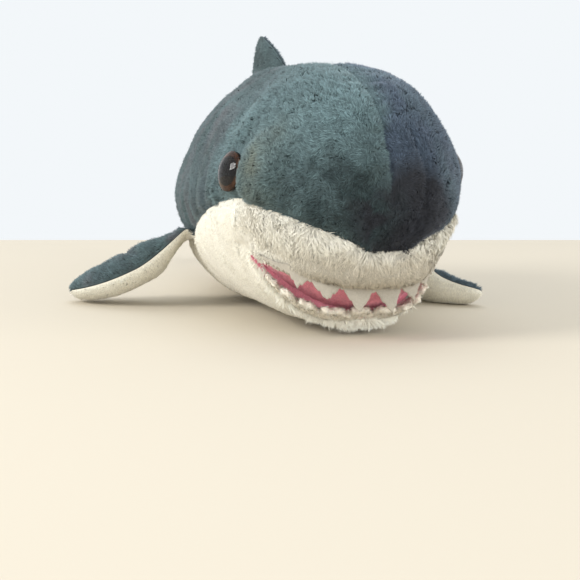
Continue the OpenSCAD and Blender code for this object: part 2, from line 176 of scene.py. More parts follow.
def noise(p, size, stretch=(1, 1, 1)):
    """Smooth value noise from -1 to 1, with lumps of about size."""
    q = p / (size * np.array(stretch)) + 100
    cell = np.floor(q).astype(np.int64)
    f = q - cell
    f = f * f * (3 - 2 * f)
    total = np.zeros(len(p))
    for corner in range(8):
        d = np.array([corner & 1, corner >> 1 & 1, corner >> 2 & 1])
        c = cell + d
        key = (c[:, 0] * 73856093 ^ c[:, 1] * 19349663 ^ c[:, 2] * 83492791) % NOISE_CELLS
        total += NOISE_TABLE[key] * np.prod(np.where(d, f, 1 - f), axis=1)
    return 2 * total - 1


def noise3(p, size):
    return np.stack([noise(p + 71 * k, size) for k in range(3)], 1)


def lookup(table):
    """Smooth reading of a table of points, along it by u and round it by v, both from 0 to 1."""
    rows, cols = table.shape[:2]

    def read(u, v):
        i = np.clip(u, 0, 1) * (rows - 1)
        j = (v % 1) * cols
        i0 = np.minimum(i.astype(int), rows - 2)
        j0 = np.minimum(j.astype(int), cols - 1)
        j1 = (j0 + 1) % cols
        fi, fj = (i - i0)[:, None], (j - j0)[:, None]
        before = mix(table[i0, j0], table[i0, j1], fj)
        after = mix(table[i0 + 1, j0], table[i0 + 1, j1], fj)
        return mix(before, after, fi)
    return read


def spans(k, after):
    """Corners of the four-sided faces between a table of points and its next columns."""
    return np.stack([k[:-1].ravel(), k[1:].ravel(), after[1:].ravel(), after[:-1].ravel()], 1)


def halves(quads):
    return np.concatenate([quads[:, [0, 1, 2]], quads[:, [0, 2, 3]]])


# The body's form, the same as the CAD model's

def dome(y, power):
    return np.sqrt(1 - (1 - np.clip(y, 0, FULL_AT) / FULL_AT) ** power)


def rear(y):
    return ease((y - FULL_AT) / (STOCK_AT - FULL_AT))


def half_width(y):
    wedge_at, wedge_long = 276, 46
    wedge = 1 - (np.clip(y - wedge_at, 0, wedge_long) / wedge_long) ** 2.2
    tapering = mix(HALF_WIDE, STOCK_HALF_WIDE, rear(y))
    plump = np.where(y < FULL_AT, HALF_WIDE * dome(y, 2.9), tapering)
    return np.sqrt(np.clip(wedge, 0, 1)) * plump


def top_z(y):
    return np.where(y < FULL_AT, mix(NOSE_HIGH, TOP, dome(y, 3.4)), mix(TOP, STOCK_TOP, rear(y)))


def low_z(y):
    chin = (1 - (1 - np.clip(y, 0, CHIN_END_AT) / CHIN_END_AT) ** 2) ** (1 / 2.3)
    rise = ease((y - BELLY_RISES_AT) / (STOCK_AT - BELLY_RISES_AT))
    return np.where(y < CHIN_END_AT, mix(NOSE_HIGH, BOTTOM, chin), mix(BOTTOM, STOCK_BOTTOM, rise))


def arc_table():
    y = STOCK_END_AT * np.linspace(0, 1, 4000) ** 2.4
    r = half_width(np.minimum(y, 250))
    arc = np.concatenate([[0], np.cumsum(np.hypot(np.diff(y), np.diff(r)))])
    return arc, y


ARC, ARC_Y = arc_table()
ARC_LEN = ARC[-1]


def body_form(s, b):
    """Point a share s of the way from snout to tail and b of a turn round from mid-belly."""
    y = np.interp(s * ARC_LEN, ARC, ARC_Y)
    angle = 2 * np.pi * b - np.pi / 2
    top, low = top_z(y), low_z(y)
    return np.stack([half_width(y) * np.cos(angle), y,
                     (top + low) / 2 + (top - low) / 2 * np.sin(angle)], axis=1)


def seam_table():
    t = np.linspace(0, 1, 80)
    y = np.concatenate([[-50], mix(3.6, 45, t * t), mix(45, 140, t[1:]), [STOCK_AT, 500]])
    z = np.concatenate([[39], mix(39, 61.5, t ** 0.9), mix(61.5, 40, ease(t[1:])), [47, 47]])
    return y, z


SEAM_Y, SEAM_Z = seam_table()


def above_seam(p):
    """Height above the seam of back and belly. The seam dips left of the snout and at the fins."""
    lower = (5 * step(12, 40, p[:, 0]) * (1 - step(40, 90, p[:, 1]))
             + 4 * step(100, 125, p[:, 1]) * (1 - step(160, 190, p[:, 1])))
    return p[:, 2] - np.interp(p[:, 1], SEAM_Y, SEAM_Z) + lower


# The mouth. An angle of 0 is its front and a quarter turn its right corner.

def upper_lip(a):
    return np.stack([-MOUTH_HALF_WIDE * np.sin(a), 46 - UPPER_LIP_DEEP * np.cos(a),
                     mix(25, 39, np.sin(a) ** 2)], axis=-1)


def lower_lip(a):
    return np.stack([-51 * np.sin(a), 48 - LOWER_LIP_DEEP * np.cos(a),
                     mix(9, 38, np.abs(np.sin(a)) ** 3.4)], axis=-1)


def fold(a):
    return np.stack([-47 * np.sin(a), mix(45, 49, np.sin(a) ** 2),
                     mix(12.3, 37.3, np.abs(np.sin(a)) ** 2.2)], axis=-1)


def outward(a):
    return unit(np.stack([-np.sin(a) / MOUTH_HALF_WIDE, -np.cos(a) / UPPER_LIP_DEEP, 0 * a],
                         axis=-1))


def reach_skin(lip, a):
    """How far from the fold, in lip distances, the mouth's lining meets the skin."""
    low, high = np.full(len(a), 0.5), np.full(len(a), 1.6)
    for _ in range(30):
        middle = (low + high) / 2
        p = fold(a) + middle[:, None] * (lip(a) - fold(a))
        top, bottom = top_z(p[:, 1]), low_z(p[:, 1])
        wide = np.maximum(half_width(p[:, 1]), 1e-6)
        tall = np.maximum((top - bottom) / 2, 1e-6)
        off = np.hypot(p[:, 0] / wide, (p[:, 2] - (top + bottom) / 2) / tall)
        out = (off > 1) | (p[:, 1] < 0)
        high, low = np.where(out, middle, high), np.where(out, low, middle)
    return low


def plan_angle(p):
    return np.arctan2(-p[:, 0], 48 - p[:, 1])


def lip_table(lip, corner_z):
    a = np.radians(np.linspace(-88, 88, 353))
    edge = fold(a) + reach_skin(lip, a)[:, None] * (lip(a) - fold(a))
    angle = np.concatenate([[-1.62], plan_angle(edge), [1.62]])
    return angle, np.concatenate([[corner_z], edge[:, 2], [corner_z]])


UPPER_EDGE = lip_table(upper_lip, 38.4)
LOWER_EDGE = lip_table(lower_lip, 38.6)


def lip_gap(p):
    """Height above the upper lip and below the lower one. The mouth is where both are negative."""
    angle = plan_angle(p)
    return p[:, 2] - np.interp(angle, *UPPER_EDGE), np.interp(angle, *LOWER_EDGE) - p[:, 2]


def off_mouth(p):
    above, below = lip_gap(p)
    return np.maximum(above, below)


def on_muzzle(p):
    """Positive on the snout's own panel, ahead of and above the corners of the mouth."""
    line = np.minimum(11.3 + (p[:, 1] + 5) * 0.5333, 38.5)
    return np.minimum(p[:, 2] - line, 50 - p[:, 1])


def lean(p):
    """The toy's left jaw is squashed inwards a little, and its tail bends to the left."""
    x, y, z = p.T
    jaw = 7 * (1 - step(26, 56, z)) * (1 - step(58, 100, y)) * step(4, 44, x)
    clear_of_eye = 1 - np.exp(-(eye_distance(p) / 18) ** 4)
    flank = 2.4 * step(18, 50, x) * (1 - step(120, 200, y)) * clear_of_eye
    bend = 8 * (np.clip(y - 235, 0, 130) / 115) ** 2
    return p + np.stack([bend - jaw - flank, 0 * x, 0 * x], 1)


# Skins

def eye_distance(p):
    return np.linalg.norm(np.abs(p) - EYE_AT, axis=1)


def lip_relief(p):
    """The upper lip rolls in under its edge, the chin bulges, and the corners are drawn in."""
    _, y, z = p.T
    above, below = lip_gap(p)
    front = 1 - step(36, 50, y)
    upper = step(-1.5, 1.5, above - below) * front
    roll = 4.0 * np.exp(-(above / 4.5) ** 2) * upper
    tuck = 4.0 * (1 - step(-4.4, -1.4, above)) * upper
    chin = 3.0 * np.exp(-((below - 4) / 3.6) ** 2) * (front - upper)
    near = np.exp(-(np.maximum(above, below) / 3.0) ** 2)
    corner = 1.0 * near * (1 - front) * (y < 54) * (z < NOSE_HIGH)
    return roll - tuck + chin - corner


def relief(p):
    """How far the stuffed skin stands proud of its plain form."""
    x, y, z = p.T
    uneven = 0.8 * noise(p, 34) + 0.4 * noise(p, 13)
    middle_seam = 0.8 * np.exp(-(x / 2.0) ** 2) * (z > NOSE_HIGH)
    side_seam = 1.4 * np.exp(-(above_seam(p) / 2.6) ** 2)
    cheek = 1.0 * blob(p * [0, 1, 1], (0, 48, 46), (1, 26, 17))
    shoulder = 3.6 * blob(p, (-48, 110, 100), (40, 90, 50)) * step(56, 72, y)

    # A fold down the left of the snout, with a ridge beside it
    fold_x = 9 + 8 * np.exp(-((z - 70) / 22) ** 2)
    fold_span = step(48, 56, z) * (1 - step(88, 97, z)) * (y < 40)
    dent = 1.3 * np.exp(-((x - fold_x) / 1.8) ** 2) * fold_span
    ridge = 0.7 * np.exp(-((x - fold_x - 4.5) / 3.0) ** 2) * fold_span

    # The stuffing swells round each eye, and into a brow that is stronger on the right
    socket = 2.5 * np.exp(-(eye_distance(p) / 12) ** 4)
    brow = blob(np.abs(p), (52, 35.5, 74), (24, 15, 22)) * mix(4.2, 0.6, step(-9, 9, x))
    return (uneven - middle_seam - side_seam + cheek - shoulder - dent + ridge + socket + brow
            + lip_relief(p))


def normals_of(form, u, v, sign):
    """A form's outward normals and its two directions, at coordinates kept off its poles."""
    h = 0.0012
    u0, u1 = np.clip(u - h, 0.0015, 0.9985), np.clip(u + h, 0.004, 1)
    along = form(u1, v) - form(u0, v)
    around = form(np.maximum(u, 0.002), v + h) - form(np.maximum(u, 0.002), v - h)
    return sign * unit(np.cross(along, around)), unit(along), unit(around)


def relax(points, faces, held, pressure, limit):
    """Lets a coarse skin, held along its seams, fill out under the push of its stuffing."""
    trial_scale, frames = 50, 20
    mesh = bpy.data.meshes.new("trial")
    mesh.from_pydata((points / trial_scale).tolist(), [], faces.tolist())
    trial = bpy.data.objects.new("trial", mesh)
    scene = bpy.context.scene
    scene.collection.objects.link(trial)
    trial.vertex_groups.new(name="held").add(np.nonzero(held)[0].tolist(), 1.0, "REPLACE")
    cloth = trial.modifiers.new("cloth", "CLOTH")
    cloth.settings.vertex_group_mass = "held"
    cloth.settings.quality = 5
    cloth.settings.mass = 0.3
    cloth.settings.shrink_min = -0.04
    cloth.settings.use_pressure = True
    cloth.settings.uniform_pressure_force = pressure
    cloth.settings.effector_weights.gravity = 0
    cloth.point_cache.frame_start = 1
    cloth.point_cache.frame_end = frames
    for moment in range(1, frames + 1):
        scene.frame_set(moment)
    shape = trial.evaluated_get(bpy.context.evaluated_depsgraph_get())
    place = np.empty(len(points) * 3)
    shape.data.vertices.foreach_get("co", place)
    moved = place.reshape(-1, 3) * trial_scale - points
    scene.frame_set(1)
    bpy.data.objects.remove(trial)
    bpy.data.meshes.remove(mesh)
    size = np.linalg.norm(moved, axis=1, keepdims=True)
    return moved * np.minimum(1, limit / np.maximum(size, 1e-6))


def fill_out():
    """How far each place of the body's skin moves when it is stuffed, found on a coarse net."""
    rows, cols = 84, 76
    s, b = np.meshgrid(np.linspace(0, 1, rows), np.arange(cols) / cols, indexing="ij")
    p = body_form(np.maximum(s.ravel(), 0.004), b.ravel())
    k = np.arange(rows * cols).reshape(rows, cols)
    x, y, z = p.T
    on_seam = (np.abs(above_seam(p)) < 2.6) | (z > NOSE_HIGH) & (np.abs(x) < 2.6)
    on_lips = (off_mouth(p) < 3) & (y < 55)
    held = on_seam | on_lips | (eye_distance(p) < 12) | (z < 1) | (y > 290) | (y < 2)
    moved = relax(p, spans(k, np.roll(k, -1, axis=1)), held, pressure=3.5, limit=2.6)
    return lookup(moved.reshape(rows, cols, 3))


FILL = fill_out()


def dressed_body(s, b):
    p = body_form(s, b)
    n, _, _ = normals_of(body_form, s, b, 1)
    p = lean(p + n * (relief(p) - SKIN_INSET)[:, None] + FILL(s, b))
    p[:, 2] = np.maximum(p[:, 2], 0.5)
    return p


def grid(rows, cols, v=(0, 1)):
    """Coordinates and triangles of a grid in a skin's own two coordinates."""
    us, vs = np.meshgrid(np.linspace(0, 1, rows + 1), np.linspace(*v, cols + 1), indexing="ij")
    k = np.arange((rows + 1) * (cols + 1)).reshape(rows + 1, cols + 1)
    return np.stack([us.ravel(), vs.ravel()], 1), halves(spans(k[:, :-1], k[:, 1:]))


def clip(patch, keep):
    """The part of a patch where keep is positive, cut along its zero line.

    A patch is its coordinates, its triangles and its plain form. keep takes points of that form.
    """
    uv, tris, form = patch
    value = keep(form(uv[:, 0], uv[:, 1]))
    inside = value[tris] > 0
    count = inside.sum(1)
    new_uv, found = [], {}

    def cut(i, j):
        key = (min(i, j), max(i, j))
        if key not in found:
            t = value[i] / (value[i] - value[j])
            found[key] = len(uv) + len(new_uv)
            new_uv.append(mix(uv[i], uv[j], t))
        return found[key]

    made = []
    for k in np.nonzero((count == 1) | (count == 2))[0]:
        lone = int(np.nonzero(inside[k] == (count[k] == 1))[0][0])
        a, b, c = (int(tris[k][(lone + i) % 3]) for i in range(3))
        ab, ac = cut(a, b), cut(a, c)
        made += [(a, ab, ac)] if count[k] == 1 else [(ab, b, c), (ab, c, ac)]
    tris = np.concatenate([tris[count == 3], np.array(made, int).reshape(-1, 3)])
    uv = np.concatenate([uv, np.array(new_uv).reshape(-1, 2)])
    used, tris = np.unique(tris, return_inverse=True)
    return uv[used], tris.reshape(-1, 3), form


# Pile

def face_normals(points, tris):
    """Normals of triangles, as long as twice their areas."""
    a, b, c = (points[tris[:, i]] for i in range(3))
    return np.cross(b - a, c - a)


def scatter(patch, form, rng, density):
    """Coordinates spread evenly over a patch, density of them to a square millimetre."""
    uv, tris, _ = patch
    area = np.linalg.norm(face_normals(form(uv[:, 0], uv[:, 1]), tris), axis=1) / 2
    count = int(area.sum() * density)
    pick = np.searchsorted(np.cumsum(area) / area.sum(), rng.random(count))
    pick = np.minimum(pick, len(tris) - 1)
    r1, r2 = np.sqrt(rng.random(count)), rng.random(count)
    weights = np.stack([1 - r1, r1 * (1 - r2), r1 * r2], 1)
    return (uv[tris[pick]] * weights[:, :, None]).sum(1)


def tuft_coordinates(form, root, root_uv, along, around, points):
    """Where the points of each tuft lie in the skin's own coordinates, for baking."""
    h = 0.002
    u, v = root_uv.T
    per_u = np.linalg.norm(form(np.minimum(u + h, 1), v) - form(u, v), axis=1) / h + 1
    per_v = np.linalg.norm(form(u, v + h) - root, axis=1) / h + 20
    reach = points - root[:, None, :]
    return root_uv[:, None, :] + np.stack([(reach * along[:, None]).sum(2) / per_u[:, None],
                                           (reach * around[:, None]).sum(2) / per_v[:, None]], 2)


def grow(patch, form, sign, rng, density, length, width, nap, paint, clump=3.0, gather=0.5,
         lift=(60, 24), contrast=1.0, share=None, bald=None, fluff=None):
    """Tufts of pile on a patch, as points, triangles, normals, colours and coordinates.

    length, nap and paint give a tuft's length, lie and colour by its place. Neighbours within
    clump lean together by gather. lift is the angle of a tuft's lower and upper half. share thins
    the pile into wider, calmer tufts, bald leaves places bare, and fluff turns a fringe's shading.
    """
    root_uv = scatter(patch, form, rng, density)
    root = form(root_uv[:, 0], root_uv[:, 1])
    count = len(root)
    kept = np.ones(count, bool)
    wide = np.full(count, width)
    if share is not None:
        thinned = share(root)
        kept = rng.random(count) < thinned
        wide = wide / np.sqrt(thinned)
        contrast = contrast * thinned ** 2
        lift = (lift[0] * mix(0.45, 1, thinned), lift[1] * mix(0.3, 1, thinned))
    if bald is not None:
        kept = kept & ~bald(root)
    lift = [np.broadcast_to(angle, count)[kept] for angle in lift]
    contrast = np.broadcast_to(contrast, count)[kept]
    root, root_uv, wide = root[kept], root_uv[kept], wide[kept]
    count = len(root)
    normal, along, around = normals_of(form, root_uv[:, 0], root_uv[:, 1], sign)

    flow = nap(root, along, around)
    flow = unit(flow - (flow * normal).sum(1)[:, None] * normal)
    side = np.cross(normal, flow)
    yaw = rng.normal(0, 0.42, count)[:, None]
    flow, side = (flow * np.cos(yaw) + side * np.sin(yaw),
                  side * np.cos(yaw) - flow * np.sin(yaw))
    long = (length(root) * rng.uniform(0.7, 1.2, count))[:, None]
    lift0 = np.radians(lift[0] + rng.normal(0, 10, count))[:, None]
    lift1 = np.radians(lift[1] + rng.normal(0, 12, count))[:, None]
    pull = noise3(root, clump)
    pull = gather * long * (pull - (pull * normal).sum(1)[:, None] * normal)

    twist = rng.uniform(-0.6, 0.6, count)[:, None]
    across = side * np.cos(twist) + normal * np.sin(twist)
    across = across * (wide * rng.uniform(0.75, 1.25, count) / 2)[:, None]
    low = root - BURIED * normal
    middle = low + 0.42 * long * (flow * np.cos(lift0) + normal * np.sin(lift0)) + 0.35 * pull
    tip = middle + 0.58 * long * (flow * np.cos(lift1) + normal * np.sin(lift1)) + 0.65 * pull
    points = np.stack([low - across, low + across,
                       middle - across * 0.85, middle + across * 0.85, tip], 1)
    points[:, :, 2] = np.maximum(points[:, :, 2], 0.25)
    edge = 0.5 * unit(across)
    rounded = np.stack([-edge, edge, -edge, edge, 0.3 * flow], 1)
    raised = normal if fluff is None else normal + fluff(root)
    shade = unit(raised[:, None, :] + rounded)

    colour = paint(root)
    colour = colour * np.clip(1 + 0.16 * contrast * rng.normal(0, 1, count), 0.6, 1.6)[:, None]
    # Painted shade darkens each tuft towards its root, and a painted highlight lightens its tip.
    ramp = 1 + contrast[:, None] * np.array([-0.45, -0.45, -0.08, -0.08, 0.25])
    colours = np.clip(colour[:, None, :] * ramp[:, :, None], 0, 0.95)

    order = np.array([[0, 1, 3], [0, 3, 2], [2, 3, 4]])
    faces = (5 * np.arange(count)[:, None, None] + order).reshape(-1, 3)
    facing = np.cross(points[:, 1] - points[:, 0], points[:, 3] - points[:, 0])
    flip = np.repeat((facing * normal).sum(1) < 0, 3)
    faces[flip] = faces[flip][:, ::-1]
    coords = tuft_coordinates(form, root, root_uv, along, around, points)
    return (points.reshape(-1, 3), faces, shade.reshape(-1, 3), colours.reshape(-1, 3),
            coords.reshape(-1, 2))


def make_skin(name, patch, form, sign, paint, material, tufts):
    """One panel of cloth with its pile, as one mesh. The weave under the pile is painted darker, as
    painted shade beneath the pile.
    """
    uv, tris, _ = patch
    points = form(uv[:, 0], uv[:, 1])
    normal, _, _ = normals_of(form, uv[:, 0], uv[:, 1], sign)
    faces = tris if sign > 0 else tris[:, ::-1]
    weave = (points, faces, normal, 0.8 * paint(points), uv)
    return make_mesh(name, [weave, tufts], material)


def make_mesh(name, parts, material):
    """One mesh from parts of points, triangles, normals, colours and coordinates."""
    points, faces, shade, colour, coords = zip(*parts)
    firsts = np.cumsum([0] + [len(p) for p in points[:-1]])
    faces = np.concatenate([f + first for f, first in zip(faces, firsts)])
    points, shade, colour, coords = map(np.concatenate, (points, shade, colour, coords))
    mesh = bpy.data.meshes.new(name)
    mesh.vertices.add(len(points))
    row_points = (points - [0, BODY_LEN / 2, 0]) * MM
    mesh.vertices.foreach_set("co", row_points.astype(np.float32).ravel())
    mesh.loops.add(faces.size)
    mesh.loops.foreach_set("vertex_index", faces.astype(np.int32).ravel())
    mesh.polygons.add(len(faces))
    mesh.polygons.foreach_set("loop_start", np.arange(0, faces.size, 3, dtype=np.int32))
    mesh.update(calc_edges=True)
    mesh.polygons.foreach_set("use_smooth", np.ones(len(faces), bool))
    paint = mesh.color_attributes.new("pile", "FLOAT_COLOR", "POINT")
    opaque = np.hstack([colour, np.ones((len(colour), 1))])
    paint.data.foreach_set("color", opaque.astype(np.float32).ravel())
    low, high = coords.min(0), coords.max(0)
    spread = 0.01 + 0.98 * (coords - low) / (high - low)
    layer = mesh.uv_layers.new(name="OFBake")
    layer.data.foreach_set("uv", spread[faces.ravel()].astype(np.float32).ravel())
    mesh.normals_split_custom_set_from_vertices(unit(shade).tolist())
    mesh.materials.append(material)
    piece = bpy.data.objects.new(name, mesh)
    bpy.context.scene.collection.objects.link(piece)
    return piece


# Materials

# Roughness, sheen and its tint, the scale and depth of the grain, and shine
CLOTHS = {
    "pile_teal": (0.75, 0.25, (0.60, 0.72, 0.75), 900, 0.3, 0.3),
    "pile_navy": (0.75, 0.25, (0.55, 0.62, 0.75), 900, 0.3, 0.3),
    "pile_muzzle": (0.42, 0.20, (1, 0.97, 0.90), 900, 0.3, 0.6),
    "pile_cream": (0.75, 0.30, (1, 0.98, 0.93), 900, 0.3, 0.3),
    "lining_pink": (0.60, 0.40, (1, 0.60, 0.70), 1200, 0.4, 0.3),
    "felt_white": (0.90, 0.30, (1, 0.98, 0.95), 1500, 0.6, 0.3),
    "felt_cream": (0.90, 0.30, (1, 0.97, 0.90), 1200, 0.6, 0.3),
}


def new_material(name):
    material = bpy.data.materials.new(name)
    material.use_nodes = True
    return material, material.node_tree, material.node_tree.nodes["Principled BSDF"]


def grain_node(tree, scale, detail):
    """Noise that is fixed to its piece."""
    place = tree.nodes.new("ShaderNodeTexCoord")
    grain = tree.nodes.new("ShaderNodeTexNoise")
    grain.inputs["Scale"].default_value = scale
    grain.inputs["Detail"].default_value = detail
    tree.links.new(place.outputs["Object"], grain.inputs["Vector"])
    return grain.outputs["Fac"]


def spread_over(tree, grain, low, high):
    spread = tree.nodes.new("ShaderNodeMapRange")
    spread.inputs["To Min"].default_value = low
    spread.inputs["To Max"].default_value = high
    tree.links.new(grain, spread.inputs["Value"])
    return spread.outputs["Result"]


def plain_material(name, colour, roughness):
    material, _, shader = new_material(name)
    shader.inputs["Base Color"].default_value = (*colour, 1)
    shader.inputs["Roughness"].default_value = roughness
    return material


def cloth_material(name, roughness, sheen, sheen_tint, scale, depth, specular):
    """Cloth whose colour is painted on the mesh, with a fine broken grain over it."""
    material, tree, shader = new_material(name)
    grain = grain_node(tree, scale, 4)
    painted = tree.nodes.new("ShaderNodeVertexColor")
    painted.layer_name = "pile"
    tinted = tree.nodes.new("ShaderNodeVectorMath")
    tinted.operation = "SCALE"
    tree.links.new(painted.outputs["Color"], tinted.inputs[0])
    tree.links.new(spread_over(tree, grain, 0.78, 1.2), tinted.inputs["Scale"])
    tree.links.new(tinted.outputs["Vector"], shader.inputs["Base Color"])
    dull = spread_over(tree, grain, roughness - 0.1, roughness + 0.12)
    tree.links.new(dull, shader.inputs["Roughness"])
    bump = tree.nodes.new("ShaderNodeBump")
    bump.inputs["Strength"].default_value = depth
    bump.inputs["Distance"].default_value = 0.0003
    tree.links.new(grain, bump.inputs["Height"])
    tree.links.new(bump.outputs["Normal"], shader.inputs["Normal"])
    shader.inputs["Specular IOR Level"].default_value = specular
    shader.inputs["Sheen Weight"].default_value = sheen
    shader.inputs["Sheen Roughness"].default_value = 0.45
    shader.inputs["Sheen Tint"].default_value = (*sheen_tint, 1)
    return material


def moulded_material(name, dark, light, roughness, scale, specular=0.5, clear=False):
    """Moulded plastic, with a faint cloud in its colour and a handled, uneven gloss."""
    material, tree, shader = new_material(name)
    cloud = grain_node(tree, scale, 3)
    gloss = spread_over(tree, cloud, roughness * 0.6, roughness * 1.6)
    tree.links.new(gloss, shader.inputs["Roughness"])
    if clear:
        shader.inputs["Base Color"].default_value = (*light, 1)
        shader.inputs["Transmission Weight"].default_value = 1
        shader.inputs["IOR"].default_value = 1.28
    else:
        ramp = tree.nodes.new("ShaderNodeValToRGB")
        ramp.color_ramp.elements[0].position = 0.35
        ramp.color_ramp.elements[0].color = (*dark, 1)
        ramp.color_ramp.elements[1].position = 0.65
        ramp.color_ramp.elements[1].color = (*light, 1)
        tree.links.new(cloud, ramp.inputs["Fac"])
        tree.links.new(ramp.outputs["Color"], shader.inputs["Base Color"])
        shader.inputs["Specular IOR Level"].default_value = specular
    return material


# Colours, by place

def back_paint(p):
    """The dyed cloth of the back: teal on the right, navy on the left, with clouds of both, and
    painted shade round the nose and a painted highlight on the top of the head.
    """
    x, y, z = p.T
    teal = np.array([0.094, 0.147, 0.156])
    navy = np.array([0.056, 0.079, 0.116])
    # Round the nose the cloth is darkened partly for the dye's dark nose and partly as painted
    # shade on the lower snout; the top of the head is lightened as a painted highlight.
    dark_nose_and_shade = np.exp(-((x / 56) ** 2 + (y / 44) ** 2 + ((z - 56) / 36) ** 2))
    crown_highlight = np.exp(-(((x + 20) / 26) ** 2 + ((y - 30) / 40) ** 2 + ((z - 96) / 22) ** 2))
    shade = (1 + 0.16 * noise(p, 22) + 0.14 * noise(p, 7) + 0.22 * noise(p, 2.6)
             - 0.46 * dark_nose_and_shade + 0.4 * crown_highlight - 0.38 * step(66, 96, y) - 0.12 * step(122, 130, z))
    colour = teal * shade[:, None]
    mottle = (1 + 0.2 * noise(p + 9, 2.6))[:, None]

    def layer(dye, amount):
        nonlocal colour
        colour = mix(colour, np.array(dye) * mottle, np.clip(amount, 0, 1)[:, None])

    q = p + 3.5 * noise3(p, 9)
    cloud = noise(p, 11)
    left = step(-1.5, mix(1.5, 12, step(80, 112, z)), x + 1.2 * noise(p, 4))
    layer(navy * (1 - 0.35 * dark_nose_and_shade[:, None]), left * (0.6 + 0.25 * cloud))
    layer(navy, 0.85 * blob(q, (10, 8, 80), (22, 26, 30)) * left)
    layer(navy, 0.8 * blob(q, (6, 24, 106), (9, 20, 12)) * left)

    above_nose = step(60, 72, z + 0.25 * x) * (1 - left)
    black, deep_teal = (0.019, 0.021, 0.027), (0.030, 0.050, 0.054)
    layer(black, 1.3 * blob(q, (8, 0, 53), (32, 34, 31)) * (1 - above_nose))
    patchy = step(-0.4, 0.4, noise(p, 6) + 0.3 * cloud)
    layer(deep_teal, blob(q, (-26, 8, 58), (36, 32, 30)) * patchy)

    olive, dusty_plum, slate = (0.165, 0.182, 0.138), (0.130, 0.120, 0.135), (0.060, 0.085, 0.100)
    before_eye = np.exp(-(((y - 35) / 7) ** 2 + ((z - 75) / 15) ** 2)) * (x < 0)
    layer(olive, 0.8 * before_eye * (0.75 + 0.4 * noise(p, 5)))
    behind_eye = step(60, 95, y)
    stripes = step(-0.1, 0.6, noise(p, 5, (3, 1, 9))) * (x < 0) * (z < 122)
    layer(dusty_plum, 0.5 * stripes * behind_eye)
    layer(slate, 0.6 * step(0.0, 0.6, noise(p + 50, 8, (3, 1, 6))) * behind_eye)
    return colour


def cream_paint(p):
    cream = np.array([0.93, 0.895, 0.78])
    return cream * (1 + 0.05 * noise(p, 18) + 0.04 * noise(p, 5))[:, None]


def muzzle_paint(p):
    """Cream at the cheeks, darkened with painted shade towards the front and more so low on the
    upper lip.
    """
    # Both darker creams are painted shade on the downward-facing front of the muzzle.
    shaded_front, deep_lip_shade = np.array([0.80, 0.765, 0.66]), np.array([0.50, 0.445, 0.345])
    low = step(45, 26, p[:, 2])[:, None] * step(40, 20, p[:, 1])[:, None]
    colour = mix(cream_paint(p), mix(shaded_front, deep_lip_shade, low), step(52, 40, p[:, 1])[:, None])
    return colour * (1 + 0.06 * noise(p, 7))[:, None]


def pink_paint(p):
    return np.array([0.97, 0.34, 0.43]) * (1 + 0.15 * noise(p, 2.5, (3, 1, 1)))[:, None]


# Nap directions and pile lengths, by place

def swirl(p, size):
    """Brushed disorder, coarse and fine."""
    return noise3(p, size) + noise3(p + 31, 4)


def back_nap(p, along, around):
    wild = mix(0.8, 0.22, np.maximum(step(52, 100, p[:, 1]), step(88, 114, p[:, 2])))
    return np.array([0, 1, -0.1]) + wild[:, None] * swirl(p, 15)


def muzzle_nap(p, along, around):
    return np.array([0, -0.15, -1]) + 0.5 * swirl(p, 10)


def cream_nap(p, along, around):
    below = lip_gap(p)[1]
    near_lip = (1 - step(2, 9, below)) * (1 - step(40, 52, p[:, 1]))
    lie = np.array([0, 0.9, -0.5]) + 0.3 * swirl(p, 14)
    return mix(lie, np.array([0, 0.3, -1]) + 0.6 * noise3(p, 3), near_lip[:, None])


def back_length(p):
    off_middle = np.where(p[:, 2] > NOSE_HIGH, step(0.6, 3, np.abs(p[:, 0])), 1)
    off_eye = step(9, 15, eye_distance(p))
    return 2.4 * (1 + 0.25 * noise(p, 12)) * mix(0.6, 1, off_eye) * mix(0.65, 1, off_middle)


def cream_length(p):
    above, below = lip_gap(p)
    chin = np.exp(-((below - 2) / 4.5) ** 2) * (1 - step(40, 54, p[:, 1])) * (above < 0)
    return 1.7 * (1 + 0.2 * noise(p, 10)) + 3.0 * chin * (1 + 0.5 * noise(p, 3))


def chin_fluff(p):
    """The fringe under the lower lip stands out and faces forward."""
    above, below = lip_gap(p)
    near_lip = (1 - step(4, 12, below)) * (1 - step(40, 54, p[:, 1])) * (above < 0)
    return np.outer(near_lip, [0, -1.2, 0.9])


def muzzle_length(p):
    near_lip = 1 - step(4, 13, lip_gap(p)[0])
    return (mix(4.2, 1.8, step(26, 48, p[:, 1])) + 0.7 * noise(p, 9)) * mix(1, 0.5, near_lip)


def same(length):
    return lambda p: np.full(len(p), length)


def even(length):
    return lambda p: length * (1 + 0.2 * noise(p, 8))


def head_share(p):
    """The pile is drawn coarser towards the tail."""
    return mix(1, 0.5, step(56, 120, p[:, 1]))


def eye_bald(p):
    return (eye_distance(p) < 8.8) & (p[:, 1] > 47)


def floor_bald(p):
    return p[:, 2] < 0.8


# Side fins, back fin and tail fin, the same forms as the CAD model's

def round_edge(x, power):
    """1 in the middle, rounding off to 0 where x reaches 1 either way."""
    return np.sqrt(np.clip(1 - np.abs(x) ** power, 0, 1))


